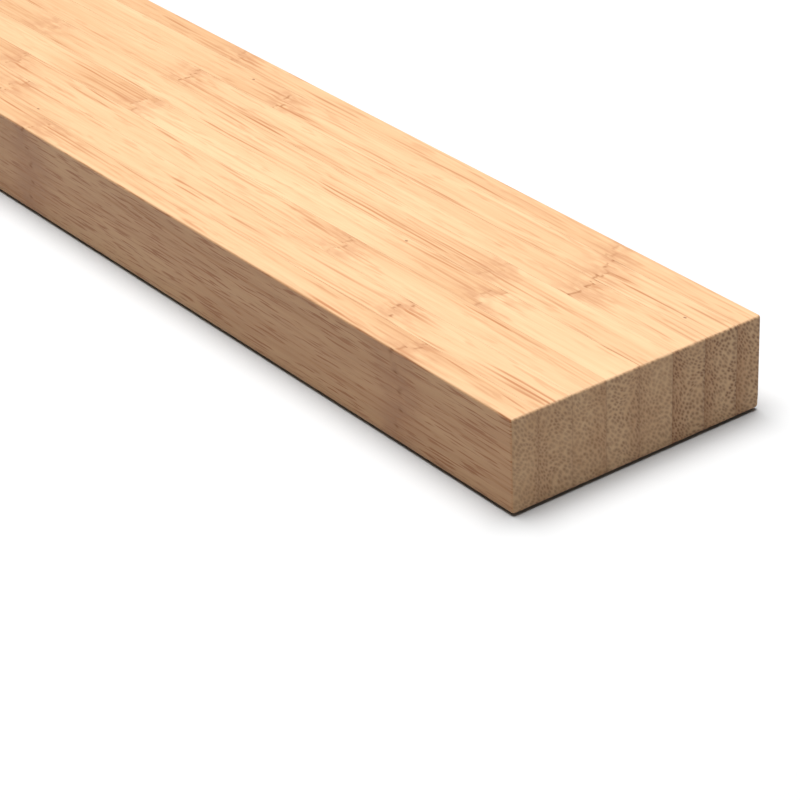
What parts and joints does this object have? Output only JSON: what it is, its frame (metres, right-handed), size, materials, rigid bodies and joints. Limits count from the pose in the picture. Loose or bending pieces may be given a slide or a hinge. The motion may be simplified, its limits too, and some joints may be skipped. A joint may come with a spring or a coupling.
{
  "type": "magnetic knife rack",
  "caption": "Wall-hung bar of glued bamboo slats with disc magnets, a steel keeper and keyhole hangers let into its back; it holds knives flat on its front.",
  "frame": {"origin": "under the middle of the rack, at the level of the wall pads' faces", "axes": "the rack lies on its back: +X along it, +Y across it and upwards when it hangs on a wall, +Z out of the front face that holds the knives"},
  "size_m": [0.406, 0.0636, 0.0215],
  "materials": {
    "bamboo": "natural bamboo, sanded and lightly oiled, satin",
    "bamboo_cover": "natural bamboo, sanded, matt",
    "magnet_nickel": "nickel plate",
    "keeper_steel": "bare mild steel",
    "hanger_zinc": "bright zinc plate",
    "screw_steel": "yellow-grey zinc plate",
    "pad_rubber": "black rubber, matt"
  },
  "bodies": {
    "root": {"slat_1": "bamboo", "slat_2": "bamboo", "slat_3": "bamboo", "slat_4": "bamboo", "slat_5": "bamboo", "slat_6": "bamboo", "slat_7": "bamboo", "slat_8": "bamboo", "magnet_01": "magnet_nickel", "magnet_02": "magnet_nickel", "magnet_03": "magnet_nickel", "magnet_04": "magnet_nickel", "magnet_05": "magnet_nickel", "magnet_06": "magnet_nickel", "magnet_07": "magnet_nickel", "magnet_08": "magnet_nickel", "magnet_09": "magnet_nickel", "magnet_10": "magnet_nickel", "magnet_11": "magnet_nickel", "magnet_12": "magnet_nickel", "keeper_bar": "keeper_steel", "back_cover": "bamboo_cover", "hanger_plate_left": "hanger_zinc", "hanger_plate_right": "hanger_zinc", "hanger_screw_left_top": "screw_steel", "hanger_screw_left_bottom": "screw_steel", "hanger_screw_right_top": "screw_steel", "hanger_screw_right_bottom": "screw_steel", "wall_pad_left_top": "pad_rubber", "wall_pad_left_bottom": "pad_rubber", "wall_pad_right_top": "pad_rubber", "wall_pad_right_bottom": "pad_rubber"}
  },
  "joints": []
}
